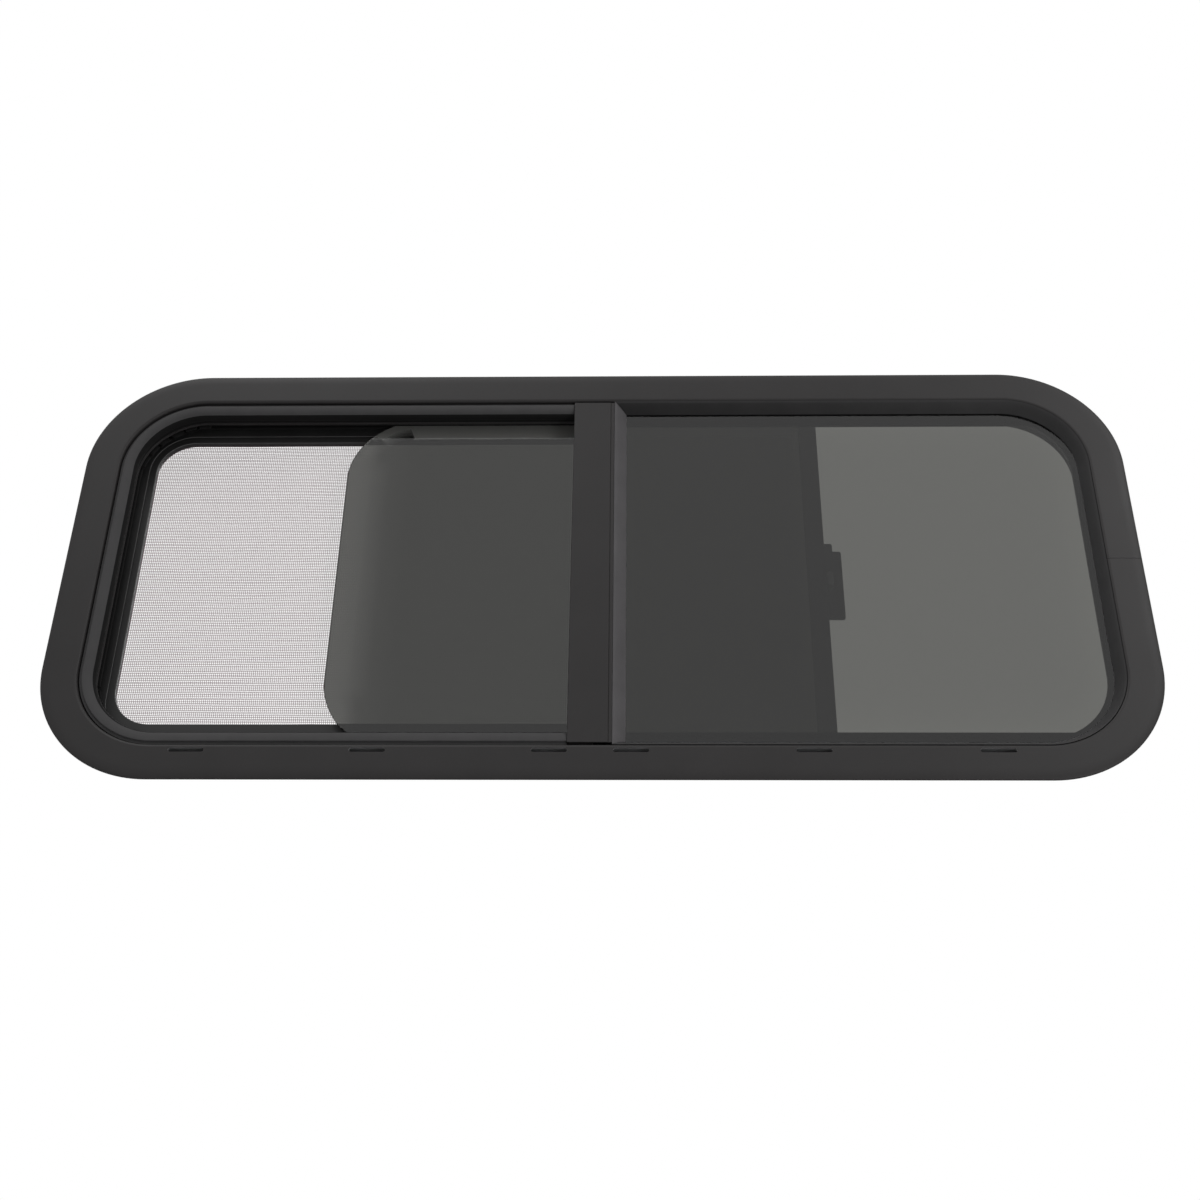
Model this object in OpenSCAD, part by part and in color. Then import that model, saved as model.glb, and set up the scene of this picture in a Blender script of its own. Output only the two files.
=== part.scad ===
// Sliding window for a caravan wall: a bent aluminium ring, a fixed tinted pane on the right,
// a tinted sash that slides behind it and an insect screen behind the left opening.
// X runs along the window, Z is up and the outside of the wall is at -Y.
// The flat back of the flange, which lies on the wall's outer skin, is at Y = 0.

/* [Frame ring] */
// Overall width of the flange
outer_w = 955; // [760:5:1200]
// Overall height of the flange
outer_h = 424; // [340:2:600]
// Outer radius of the bent corners
corner_r = 105; // [90:1:140]
// Thickness of the flange at its flat middle
flange_t = 3; // [2.4:0.1:4]
// Thickness left at the flange's rounded rim
rim_t = 1.2; // [0.8:0.1:2]
// Width of the rounded part next to the rim
crown_w = 10; // [5:0.5:16]
// Width of the flange from its rim to its inner edge
flange_w = 31.5; // [29:0.5:34]
// Distance from the rim to the outside of the body wall
body_inset = 22; // [16:0.5:23]
// Wall thickness of the body
body_t = 1.8; // [1.4:0.1:2.4]
// Depth of the body behind the flange
body_d = 38; // [37:0.5:60]
// Thickness of the two webs that hold the channels
web_t = 2; // [1.6:0.1:2.4]
// Gap left at the butt joint of the bent ring
seam_gap = 0.3; // [0.2:0.05:0.5]
// Height of the butt joint above the middle of the window
seam_y = 2.5; // [-60:0.5:60]

/* [Drain slots] */
// Length of one drain slot
slot_l = 30; // [16:1:40]
// Width of one drain slot
slot_w = 4; // [3:0.5:5]
// Distance between neighbouring slots of one pane
slot_pitch = 151; // [100:1:160]
// Distance of the innermost slots from the middle of the row
slot_first = 34; // [30:1:50]

/* [Glass] */
// Thickness of both panes
pane_t = 4; // [3:0.5:4.5]
// Depth of the fixed pane below the face of the flange
glaze_d = 12; // [10:0.5:14]
// Thickness of the tape behind the fixed pane
tape_t = 1; // [0.8:0.1:1.5]
// Gap between the edge of the fixed pane and the ring
edge_gap = 1.2; // [1:0.1:1.8]
// Left edge of the fixed pane, from the middle of the window
fixed_x = -3; // [-6:0.5:0]
// Length of one setting block
block_l = 50; // [30:5:60]
// Distance of each setting block from the nearer end of the pane's straight edge
block_in = 60; // [30:5:80]

/* [Mullion] */
// Middle of the mullion's face, from the middle of the window
mullion_x = -8.2; // [-12:0.2:0]
// Width of the mullion's face
mullion_w = 34.6; // [30:0.2:40]
// Width of the lip on the right of the face
lip_w = 3; // [2:0.2:4]
// Width of the wedge strip between the lip and the fixed pane
wedge_w = 11; // [8:0.5:14]
// Width of the sloping trim round the fixed pane
trim_w = 7.5; // [6:0.5:9]
// Width of the soft bead round the opening
seal_w = 11.6; // [9:0.2:12]

/* [Sash] */
// How far the sliding pane reaches behind the mullion when it is shut
sash_lap = 23.5; // [18:0.5:24]
// Distance that the sash is open, from closed
sash_open = 202; // [0:1:370]
// Length of one glide under the sash
glide_l = 30; // [20:2:40]
// Inside width of the channel that the sash slides in
channel_w = 10; // [9.6:0.1:12]
// Thickness of the channel liner
liner_t = 1.2; // [1:0.1:1.4]
// Running gap between the sash and what it slides in
run_gap = 0.3; // [0.25:0.05:0.4]
// Number of comb cuts at each bend of the channel liner
comb_n = 4; // [2:1:6]
// Width of a comb cut at its open end
comb_w = 5; // [3:0.5:6]
// Length of one stop bumper
bumper_l = 10; // [6:1:16]
// Width of one stop bumper, from the channel's floor
bumper_w = 12; // [9:1:16]
// Width of the stile on the sash's trailing edge
stile_w = 16.5; // [14:0.5:20]
// Height of the latch housing
latch_h = 71; // [60:1:90]
// Width of the latch housing
latch_w = 20; // [16:0.5:22]
// Depth of the latch housing behind the stile
latch_d = 9; // [7:0.5:10]

/* [Screen] */
// Width of the screen frame's bars
screen_bar = 9; // [8:0.5:11]
// Thickness of the screen frame's bars
screen_t = 6; // [5:0.5:7]
// Thickness of the woven screen
mesh_t = 0.4; // [0.3:0.1:0.6]
// Diameter of the cord that holds the screen in its groove
spline_d = 3; // [2.5:0.1:3.4]
// Length of a turn clip
clip_l = 20; // [16:1:26]
// Distance of each turn clip from the nearer end of the screen's straight edge
clip_in = 45; // [30:5:90]

/* [Hidden] */
$fn = 48;
bend_fn = 96;
slack = 1;

half_w = outer_w / 2;
half_h = outer_h / 2;
// The origin lies in the middle of the lower strip of the flange's flat back
lift = half_h - body_inset / 2;

// Heights are measured from the flange's back, positive towards the outside
glass_front = flange_t - glaze_d;
glass_back = glass_front - pane_t;
web1_top = glass_back - tape_t;
web1_bot = web1_top - web_t;
web2_top = web1_bot - channel_w;
web2_bot = web2_top - web_t;
sash_mid = (web1_bot + web2_top) / 2;
sash_front = sash_mid + pane_t / 2;
sash_back = sash_mid - pane_t / 2;

// Insets are measured from the flange's rim, positive towards the opening
edge_r = 0.8;
leg_out = flange_w - body_t;
wall_t = 2;
wall_in = flange_w + 1.5;
floor_in = wall_in + wall_t;
liner_in = floor_in + liner_t;
sash_edge = liner_in + 1;
web1_in = floor_in + 9;
lip_in = web1_in + 2;
web2_in = floor_in + 15.3;
seal_out = flange_w + 3.5;
seal_in = seal_out + seal_w;
glass_edge = flange_w + edge_gap;
trim_in = flange_w + trim_w;
border_in = web1_in + 6.8;
hair = 0.1;

// The window lies face up while it is drawn, then stands up with its face to -Y
module upright() translate([0, 0, lift]) rotate([90, 0, 0]) children();

// Points of an arc about (x, y)
function arc(x, y, r, a0, a1, n) =
    [for (i = [0 : n]) [x + r * cos(a0 + (a1 - a0) * i / n), y + r * sin(a0 + (a1 - a0) * i / n)]];

// Sections are drawn with x = inset and y = height. This one goes round one corner
module bend(sx, sy)
    mirror([sx < 0 ? 1 : 0, 0, 0]) mirror([0, sy < 0 ? 1 : 0, 0])
        translate([half_w - corner_r, half_h - corner_r, 0])
            rotate_extrude(angle = 90, $fn = bend_fn) translate([corner_r, 0]) mirror([1, 0]) children();

// The same section along the top (sy = 1) or the bottom (sy = -1) from x0 to x1
module run(x0, x1, sy)
    mirror([0, sy < 0 ? 1 : 0, 0]) translate([x0, 0, 0]) rotate([90, 0, 90])
        linear_extrude(x1 - x0) translate([half_h, 0]) mirror([1, 0]) children();

// The same section up the right (sx = 1) or the left (sx = -1) side
module rise(sx)
    mirror([sx < 0 ? 1 : 0, 0, 0]) translate([0, half_h - corner_r, 0]) rotate([90, 0, 0])
        linear_extrude(outer_h - 2 * corner_r) translate([half_w, 0]) mirror([1, 0]) children();

// A section round the left or the right end, with runs that stop at x
module around(sx, x) {
    x0 = sx < 0 ? -half_w + corner_r : x;
    x1 = sx < 0 ? x : half_w - corner_r;
    for (sy = [-1, 1]) {
        bend(sx, sy) children();
        run(x0, x1, sy) children();
    }
    rise(sx) children();
}

// A section extruded up the window's height, symmetric about its middle
module upstand(half) rotate([90, 0, 0]) translate([0, 0, -half]) linear_extrude(2 * half) children();

// A rectangle of a section from inset s0 to s1 and from height h0 to h1
module cell(s0, s1, h0, h1) translate([s0, h0]) square([s1 - s0, h1 - h0]);

// The same with a round end at s1
module tongue(s0, s1, h0, h1) {
    cell(s0, s1 - (h1 - h0) / 2, h0, h1);
    translate([s1 - (h1 - h0) / 2, (h0 + h1) / 2]) circle((h1 - h0) / 2);
}

// A rectangle with round corners about the origin
module pad(w, h, r) {
    square([w - 2 * r, h], center = true);
    square([w, h - 2 * r], center = true);
    for (sx = [-1, 1], sy = [-1, 1]) translate([sx * (w / 2 - r), sy * (h / 2 - r)]) circle(r);
}

// Outline of the window inset by s, kept between x0 and x1
module outline(s, x0 = -half_w, x1 = half_w) {
    r = corner_r - s;
    intersection() {
        union() {
            for (sx = [-1, 1], sy = [-1, 1])
                translate([sx * (half_w - corner_r), sy * (half_h - corner_r)]) circle(r, $fn = bend_fn);
            square([outer_w - 2 * corner_r, outer_h - 2 * s], center = true);
            square([outer_w - 2 * s, outer_h - 2 * corner_r], center = true);
        }
        translate([x0, -half_h]) square([x1 - x0, outer_h]);
    }
}

// Flange: flat back, an elliptical crown towards the rim and a small round at the inner edge
module flange_section() {
    crown = [for (i = [0 : 8])
        [crown_w - crown_w * cos(90 * i / 8), rim_t + (flange_t - rim_t) * sin(90 * i / 8)]];
    polygon(concat([[0, 0]], crown, arc(flange_w - edge_r, flange_t - edge_r, edge_r, 90, 0, 3),
        [[flange_w, 0]]));
}

// One bent extrusion: flange, body wall, glazing leg, the two webs of the sash channel and the screw groove
module ring_section() {
    rib_in = body_inset + body_t + 6;
    rib_t = 1.6;
    groove = 3.2;
    flange_section();
    cell(body_inset, body_inset + body_t, -body_d, 0);
    cell(leg_out, flange_w, web1_top, 0);
    tongue(body_inset + body_t, web1_in, web1_bot, web1_top);
    cell(wall_in, floor_in, web2_top, web1_bot);
    tongue(body_inset + body_t, web2_in, web2_bot, web2_top);
    tongue(body_inset + body_t, rib_in, -body_d, -body_d + rib_t);
    tongue(body_inset + body_t, rib_in, -body_d + rib_t + groove, -body_d + 2 * rib_t + groove);
}

module drain_slot(x)
    translate([x, -half_h + body_inset + body_t + 0.4 + slot_w / 2, -slack])
        linear_extrude(flange_t + 2 * slack) pad(slot_l, slot_w, slot_w / 2 - 0.01);

// Middle of the row of slots
slot_mid = mullion_x + 2.2;

module outer_frame() color("#3c3b3b") upright() difference() {
    union() {
        around(-1, 0) ring_section();
        around(1, 0) ring_section();
    }
    for (side = [-1, 1], i = [0 : 2]) drain_slot(slot_mid + side * (slot_first + i * slot_pitch));
    translate([half_w - corner_r / 2, seam_y - seam_gap / 2, -body_d - slack])
        cube([corner_r, seam_gap, body_d + flange_t + 2 * slack]);
}

splice_l = 60;
splice_t = 2;

module seam_splice() color("#6a6a6c") upright()
    translate([half_w - body_inset - body_t - splice_t, seam_y - splice_l / 2, web2_top + 0.2])
        cube([splice_t, splice_l, channel_w - 0.4]);

// The mullion in plan: face from mull_l to mull_face, then the lip to mull_r
mull_l = mullion_x - mullion_w / 2;
mull_face = mullion_x + mullion_w / 2;
mull_r = mull_face + lip_w;
mull_half = half_h - flange_w - slack;
plate_half = half_h - web1_in - 0.2;
plate_r = mull_r - 4;
keeper_h = 18;
keeper_gap = 1;

module mullion_section() {
    face_t = 2;
    leg_t = 1.8;
    lip_drop = 0.4;
    polygon(concat(arc(mull_l + edge_r, flange_t - edge_r, edge_r, 180, 90, 3),
        [[mull_face - 0.6, flange_t], [mull_face - 0.3, flange_t - 0.7], [mull_face, flange_t - lip_drop]],
        arc(mull_r - edge_r, flange_t - lip_drop - edge_r, edge_r, 90, 0, 3),
        [[mull_r, flange_t - face_t], [mull_l, flange_t - face_t]]));
    cell(mull_l, mull_l + leg_t, web1_top, flange_t - face_t);
    cell(fixed_x - leg_t - edge_gap, fixed_x - edge_gap, web1_top, flange_t - face_t);
    cell(mull_r - leg_t, mull_r, glass_front, flange_t - face_t);
}

module mullion() color("#3a3939") upright() difference() {
    union() {
        upstand(mull_half) mullion_section();
        upstand(plate_half) cell(mull_l, plate_r, web1_bot, web1_top);
    }
    // the keeper: a slot through the back plate that faces the latch bolt when the sash is shut
    translate([bolt_x - sash_open - keeper_gap, latch_mid - keeper_h / 2, web1_bot - slack])
        cube([bolt_w + 2 * keeper_gap, keeper_h, web_t + 2 * slack]);
}

// Height of the sloping trim at t = 0 on the flange and t = 1 on the glass
trim_top = flange_t - 0.2;
trim_foot = 0.6;
function slope(t) = trim_top - (trim_top - glass_front - trim_foot) * pow(t, 1.25);
slope_n = 7;

// A wedge of width w whose thin edge lies on the glass, drawn from its tall side at x = 0
module slope_section(w)
    polygon(concat([[0, glass_front]], [for (i = [0 : slope_n]) [w * i / slope_n, slope(i / slope_n)]],
        [[w, glass_front]]));

// Plan region that the mullion's wedge has to itself, mitred against the trim above and below
module mitre(grow) {
    x0 = mull_r + hair;
    x1 = x0 + wedge_w;
    y0 = half_h - flange_w - hair + grow;
    y1 = half_h - trim_in + grow;
    fall = (y0 - y1) / wedge_w;
    upper = [[x0 - slack, y0 + slack * fall], [x1, y1], [x1 + slack, y1]];
    translate([0, 0, glass_front - slack]) linear_extrude(glaze_d + 2 * slack)
        polygon(concat(upper, [for (i = [2 : -1 : 0]) [upper[i].x, -upper[i].y]]));
}

module mullion_wedge() color("#4b494b") upright() intersection() {
    upstand(half_h - flange_w - hair) translate([mull_r + hair, 0]) slope_section(wedge_w);
    mitre(-hair);
}

module glazing_trim() color("#343334") upright() difference() {
    around(1, mull_r + hair) translate([flange_w + hair, 0]) slope_section(trim_w - hair);
    mitre(hair);
}

pile_w = 4;
pile_half = half_h - lip_in - run_gap;

module mullion_pile() color("#1c1c1c") upright()
    upstand(pile_half) cell(mull_l + 1, mull_l + 1 + pile_w, sash_front + run_gap, web1_bot);

screw_d = 5;
screw_h = 1.4;
screw_pitch = 8;

// Low head that hangs below the plane it stands on, its outer half a cone
module pan_head() mirror([0, 0, 1]) {
    cylinder(h = screw_h / 2, d = screw_d);
    translate([0, 0, screw_h / 2]) cylinder(h = screw_h / 2, d1 = screw_d, d2 = screw_d * 0.66);
}

// The screws go through the body wall, from above and below, into the ends of the mullion
module mullion_screws() color("#b8b9bb") upright()
    for (sy = [-1, 1], i = [0, 1])
        translate([mull_l + screw_pitch * (i + 1), sy * (half_h - body_inset), web1_top / 2])
            rotate([90 * sy, 0, 0]) pan_head();

module fixed_pane() color("#5b5c57", 0.6) upright()
    translate([0, 0, glass_back]) linear_extrude(pane_t) outline(glass_edge, fixed_x, half_w);

// Tape behind the fixed pane, wider along the top and the bottom
module fixed_gasket() color("#242424") upright()
    translate([0, 0, web1_top]) linear_extrude(tape_t) difference() {
        outline(glass_edge, mull_r - 1.8, half_w);
        intersection() {
            outline(web1_in, -half_w, half_w);
            square([outer_w, outer_h - 2 * border_in], center = true);
            translate([mull_r + wedge_w - 2, -half_h]) square([half_w, outer_h]);
        }
    }

track_end = half_w - corner_r;

module setting_blocks() color("#1f1f1f") upright()
    for (x = [mull_r + block_in, track_end - block_in - block_l])
        translate([x, -half_h + flange_w + hair, glass_back]) cube([block_l, edge_gap - 2 * hair, pane_t]);

// A soft bead with a domed face on a narrower foot
module seal_section() {
    mid = seal_out + seal_w / 2;
    dome = 5;
    foot = 4.4;
    polygon(concat([[mid + foot - 1, web1_top], [mid - foot, web1_top], [mid - foot, web1_top + 2],
        [mid - foot + 1.4, web1_top + 3.4], [mid - foot + 1.4, flange_t - dome - 4],
        [seal_out, flange_t - dome - 1.5]],
        [for (i = [0 : 12]) [mid - seal_w / 2 * cos(15 * i), flange_t - dome + dome * sin(15 * i)]],
        [[seal_in, flange_t - dome - 1.5], [mid + foot - 1, flange_t - dome - 5]]));
}

module exterior_seal() color("#434243") upright() around(-1, mull_l - run_gap) seal_section();

// Liner: a U with a round bead at each mouth that closes on the pane
module liner_section() {
    lip = (channel_w - pane_t) / 2 - run_gap - hair;
    front = web1_bot - hair;
    back = web2_top + hair;
    cell(floor_in + hair, liner_in, back, front);
    cell(floor_in + hair, lip_in - lip / 2, front - liner_t, front);
    tongue(floor_in + hair, web2_in - 0.3, back, back + liner_t);
    for (h = [front - lip / 2, back + lip / 2]) translate([lip_in - lip / 2, h]) circle(lip / 2);
}

// Angle of the first comb cut, from the end of the straight side, and the angle between cuts
comb_first = 14;
comb_step = comb_n > 1 ? (90 - 2 * comb_first - 6) / (comb_n - 1) : 0;

module comb_cut()
    translate([0, 0, web2_top - slack]) linear_extrude(channel_w + 2 * slack)
        polygon([[corner_r - liner_in - 1, 0], [corner_r - web2_in - slack, -comb_w / 2],
            [corner_r - web2_in - slack, comb_w / 2]]);

module sash_channel() color("#141414") upright() difference() {
    around(-1, track_end) liner_section();
    for (sy = [-1, 1], i = [0 : comb_n - 1]) mirror([0, sy < 0 ? 1 : 0, 0])
        translate([-half_w + corner_r, half_h - corner_r, 0]) rotate([0, 0, 180 - comb_first - i * comb_step])
            comb_cut();
}

// Drop of the channel's floor at the bumper's far end, where the bend has begun
bumper_gap = 0.5;
floor_r = corner_r - floor_in;
bumper_sag = floor_r - sqrt(pow(floor_r, 2) - pow(bumper_gap + bumper_l, 2)) + hair;

module stop_bumpers() color("#1a1a1a") upright()
    for (sy = [-1, 1]) mirror([0, sy < 0 ? 1 : 0, 0])
        translate([track_end + bumper_gap, half_h - floor_in - bumper_w, web2_top + bumper_gap])
            cube([bumper_l, bumper_w - bumper_sag, channel_w - 2 * bumper_gap]);

screen_out = web2_in - 6;
screen_lap = 13;
screen_r = mull_l + screen_lap;
screen_top = web2_bot;
screen_bot = screen_top - screen_t;
groove_in = 1.5;
step_w = 0.8;

// The screen's outline inset by s, square at the mullion
module screen_outline(s) outline(screen_out + s, -half_w, screen_r - s);

// One bar is stepped round its back outer edge, as rolled from sheet, and has a groove in its back
module screen_frame() color("#2b2b2b") upright() difference() {
    union() {
        translate([0, 0, screen_bot]) linear_extrude(screen_t) difference() {
            screen_outline(step_w);
            screen_outline(screen_bar);
        }
        translate([0, 0, screen_bot + step_w]) linear_extrude(screen_t - step_w) difference() {
            screen_outline(0);
            screen_outline(screen_bar - step_w);
        }
    }
    translate([0, 0, screen_bot - slack]) linear_extrude(spline_d + slack) difference() {
        screen_outline(screen_bar - groove_in - spline_d);
        screen_outline(screen_bar - groove_in);
    }
}

module screen_mesh() color("#b9b5b4", 0.5) upright()
    translate([0, 0, screen_bot + 1]) linear_extrude(mesh_t) screen_outline(screen_bar + hair);

module screen_spline() color("#161616") upright()
    translate([0, 0, screen_bot + 2 * hair]) linear_extrude(spline_d - 4 * hair) difference() {
        screen_outline(screen_bar - groove_in - spline_d + hair);
        screen_outline(screen_bar - groove_in - hair);
    }

// Turn clips: a round boss on the web and a tongue over the screen's bar
clip_w = 9;
clip_t = 1.6;
clip_pivot = screen_out - clip_w / 2 - 0.6;
clip_xs = [-half_w + corner_r + clip_in, screen_r - clip_in];

module screen_clips() color("#202020") upright()
    for (sy = [-1, 1], x = clip_xs) mirror([0, sy < 0 ? 1 : 0, 0])
        translate([x, half_h - clip_pivot, screen_bot - clip_t]) {
            translate([0, (clip_w - clip_l) / 2, 0])
                linear_extrude(clip_t - hair) pad(clip_w, clip_l, clip_w / 2 - 0.01);
            cylinder(h = clip_t + screen_t, d = clip_w - 1);
        }

module clip_screws() color("#b8b9bb") upright()
    for (sy = [-1, 1], x = clip_xs)
        translate([x, sy * (half_h - clip_pivot), screen_bot - clip_t]) pan_head();

tab_w = 22;
tab_h = 14;

module screen_tab() color("#202020") upright()
    translate([(-half_w + corner_r + screen_r) / 2, -half_h + screen_out + 1 + tab_h / 2, screen_bot - 1.6])
        linear_extrude(1.5) difference() {
            pad(tab_w, tab_h, 3);
            translate([0, tab_h / 2 - 4]) pad(tab_w - 10, 3, 1.4);
        }

sash_w = half_w - sash_edge - run_gap + mull_l + sash_lap;
sash_l = -half_w + sash_edge + run_gap + sash_open;
sash_r = sash_l + sash_w;

// Outline of the sliding pane: round on the left, square on the right
module sash_outline() {
    r = corner_r - sash_edge;
    h = half_h - sash_edge;
    translate([sash_l + r, -h]) square([sash_w - r, 2 * h]);
    translate([sash_l, -h + r]) square([r + slack, 2 * (h - r)]);
    for (sy = [-1, 1]) translate([sash_l + r, sy * (h - r)]) circle(r, $fn = bend_fn);
}

module sash_pane() color("#4b4c48", 0.6) upright()
    translate([0, 0, sash_back]) linear_extrude(pane_t) sash_outline();

stile_half = half_h - web2_in - slack;
stile_front = web1_bot - 0.8;
stile_back = web2_top;
stile_r = sash_r + 1.5;
grip_r = 2.1;
grip_sunk = 0.5;

// Stile: a channel on the pane's trailing edge with a round finger grip along its back
module stile_section() {
    difference() {
        polygon(concat(arc(stile_r - stile_w + edge_r, stile_front - edge_r, edge_r, 180, 90, 3),
            arc(stile_r - edge_r, stile_front - edge_r, edge_r, 90, 0, 3),
            [[stile_r, stile_back], [stile_r - stile_w, stile_back]]));
        cell(sash_r - stile_w - slack, sash_r, sash_back, sash_front);
    }
    translate([stile_r - stile_w + grip_r + grip_sunk, stile_back + grip_sunk]) circle(grip_r);
}

module sash_stile() color("#2e2d2d") upright() upstand(stile_half) stile_section();

glide_h = 6;
glide_r = 1.5;
glide_in = 90;
glide_gap = 8;

module sash_glides() color("#d8d6d0") upright() difference() {
    for (x = [sash_l + glide_in + glide_l / 2, sash_r - stile_w - glide_gap - glide_l / 2])
        translate([x, -half_h + liner_in + run_gap + glide_h / 2, web2_top + liner_t + run_gap])
            linear_extrude(channel_w - 2 * liner_t - 2 * run_gap) pad(glide_l, glide_h, glide_r);
    translate([0, 0, sash_back]) linear_extrude(pane_t) sash_outline();
}

latch_mid = -6.5;
latch_out = 14;
latch_x = stile_r + latch_out - latch_w / 2;
latch_base_t = 3;
latch_step = 1.5;
latch_foot = 8;

// Housing: a base plate and a raised part whose upper end is flush with the base, its back edge stepped in
module latch_body() color("#242424") upright() {
    raised_h = latch_h - latch_foot;
    translate([latch_x, latch_mid, stile_back]) mirror([0, 0, 1]) {
        linear_extrude(latch_base_t) pad(latch_w, latch_h, 2);
        translate([0, latch_foot / 2, latch_base_t])
            linear_extrude(latch_d - latch_base_t - 1) pad(latch_w - 2 * latch_step, raised_h, 3);
        translate([0, latch_foot / 2, latch_d - 1])
            linear_extrude(1) pad(latch_w - 3 * latch_step, raised_h - latch_step, 2.4);
    }
}

tab_out = 6;
grip_d = 1;

// Thumb tab that comes out of the housing's upper end, with three grip ribs on its back
module latch_tab() color("#1c1c1c") upright()
    translate([stile_r + 4.5, latch_mid + latch_h / 2 + hair + tab_out / 2, stile_back - latch_d + 1.5]) {
        linear_extrude(latch_d - 3) pad(8, tab_out, 2.4);
        for (i = [-1 : 1]) translate([0, 1.8 * i, 0]) rotate([0, 90, 0])
            cylinder(h = 5, d = grip_d, center = true);
    }

bolt_w = 5;
bolt_x = stile_r + 1;
bolt_gap = 0.4;

// Bolt, drawn back behind the plane of the mullion's plate
module latch_bolt() color("#8d8e90") upright()
    translate([bolt_x + bolt_w / 2, latch_mid, stile_back])
        linear_extrude(channel_w - bolt_gap) pad(bolt_w, keeper_h - 4, 1.5);

screw_spread = (latch_h - latch_foot) / 2 - 9;

module latch_screws() color("#b8b9bb") upright()
    for (sy = [-1, 1])
        translate([latch_x, latch_mid + latch_foot / 2 + sy * screw_spread, stile_back - latch_d]) pan_head();

outer_frame();
seam_splice();
mullion();
mullion_wedge();
mullion_pile();
mullion_screws();
fixed_pane();
fixed_gasket();
glazing_trim();
setting_blocks();
exterior_seal();
sash_channel();
stop_bumpers();
screen_frame();
screen_mesh();
screen_spline();
screen_clips();
clip_screws();
screen_tab();
sash_pane();
sash_stile();
sash_glides();
latch_body();
latch_tab();
latch_bolt();
latch_screws();
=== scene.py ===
import math
import bmesh
import bpy
import numpy as np
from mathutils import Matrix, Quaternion, Vector


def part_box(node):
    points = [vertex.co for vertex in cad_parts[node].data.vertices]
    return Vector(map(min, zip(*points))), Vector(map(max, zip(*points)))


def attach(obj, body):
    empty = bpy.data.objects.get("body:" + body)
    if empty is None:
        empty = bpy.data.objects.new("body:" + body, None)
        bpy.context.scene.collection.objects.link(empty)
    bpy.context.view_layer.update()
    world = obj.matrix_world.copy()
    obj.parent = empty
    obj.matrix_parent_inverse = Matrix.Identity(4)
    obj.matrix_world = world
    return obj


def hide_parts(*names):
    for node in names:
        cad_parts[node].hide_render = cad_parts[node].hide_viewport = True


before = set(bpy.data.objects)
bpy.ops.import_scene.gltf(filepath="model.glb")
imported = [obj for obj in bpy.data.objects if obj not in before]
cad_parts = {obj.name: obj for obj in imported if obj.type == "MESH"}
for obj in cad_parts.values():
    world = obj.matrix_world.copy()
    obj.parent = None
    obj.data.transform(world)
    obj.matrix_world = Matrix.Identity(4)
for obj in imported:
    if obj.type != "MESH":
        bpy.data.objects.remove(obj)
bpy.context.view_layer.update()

# A piece is worked out with the window lying face up: x along it, y up it and h out of the wall, in
# millimetres. Insets are measured from the flange's rim, positive towards the opening.
window = {
    "halfW": 477.5,
    "halfH": 212.0,
    "cornerR": 105.0,
    "lift": 201.0,  # height of the window's middle
    "cornerSteps": 32,
}
halfW = window["halfW"]
halfH = window["halfH"]
cornerR = window["cornerR"]
centreX = halfW - cornerR
centreY = halfH - cornerR


# A plan point (x, y, h) in millimetres stands up as (x, -h, lift + y) in metres
def standUp(points):
    x, y, h = np.moveaxis(points, -1, 0)
    return np.stack([x, -h, window["lift"] + y], axis=-1) * 0.001


# A node's box as plan millimetres: x0, x1, y0, y1, h0, h1
def planBox(node):
    low, high = (np.array(corner) * 1000 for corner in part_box(node))
    return low[0], high[0], low[2] - window["lift"], high[2] - window["lift"], -high[1], -low[1]


# Each corner p of a section becomes p + a c (1 - u)^2 + b c u^2, where a and b point along its two edges
# and c is how much of each edge the round takes. A support point just outside each end keeps the flats
# flat. The third column says how near a point is to the middle of a round edge.
def roundedLoop(corners, steps=3, support=0.25):
    table = np.array(corners, float)
    point, cut = table[:, None, :2], table[:, 2:3]
    toLast = np.roll(point, 1, axis=0) - point
    toNext = np.roll(point, -1, axis=0) - point
    toLast /= np.linalg.norm(toLast, axis=2, keepdims=True)
    toNext /= np.linalg.norm(toNext, axis=2, keepdims=True)
    u = np.linspace(0, 1, steps + 1)
    extra = np.where(cut > 0, cut + support, 0)
    back = np.hstack([extra, cut * (1 - u) ** 2, extra * 0])
    ahead = np.hstack([extra * 0, cut * u ** 2, extra])
    worn = np.hstack([extra * 0, (cut > 0) * 4 * (u * (1 - u) + 0.05), extra * 0])
    loop = point + toLast * back[:, :, None] + toNext * ahead[:, :, None]
    return np.dstack([loop, worn[:, :, None]]).reshape(-1, 3)


# Stations round one corner, as (x, y, dx, dy): the point on the rim and the direction inwards
def bend(sideX, sideY, start, end, steps=window["cornerSteps"]):
    angle = np.radians(np.linspace(start, end, steps + 1))
    x, y = np.cos(angle), np.sin(angle)
    return np.column_stack([sideX * centreX + cornerR * x, sideY * centreY + cornerR * y, -x, -y])


# Inset along a ray from the ring's corner centre at which a corner tighter by t has inset s. With
# r = cornerR - s the ray meets the straight edges at r / cos or r / sin, and between them the arc of radius
# r - t about (t, t)
def tighterInset(s, t, stations):
    c, n = np.abs(stations[:, 2:3]), np.abs(stations[:, 3:4])
    r = cornerR - s[None, :]
    k = t * (c + n)
    arc = k + np.sqrt(np.maximum(k ** 2 - 2 * t ** 2 + (r - t) ** 2, 0))
    onSide = np.where(r * n <= t * c, r / np.maximum(c, 1e-9), arc)
    reach = np.where(r * c <= t * n, r / np.maximum(n, 1e-9), onSide)
    onBend = np.abs(np.hypot(c, n) - 1) < 1e-6
    return np.where(onBend, cornerR - reach, s[None, :])


# Stations of a section that goes round the left end and stops at x
def leftRound(x, steps=window["cornerSteps"]):
    return np.vstack([
        [x, halfH, 0, -1], bend(-1, 1, 90, 180, steps), bend(-1, -1, 180, 270, steps), [x, -halfH, 0, 1]])


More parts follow.
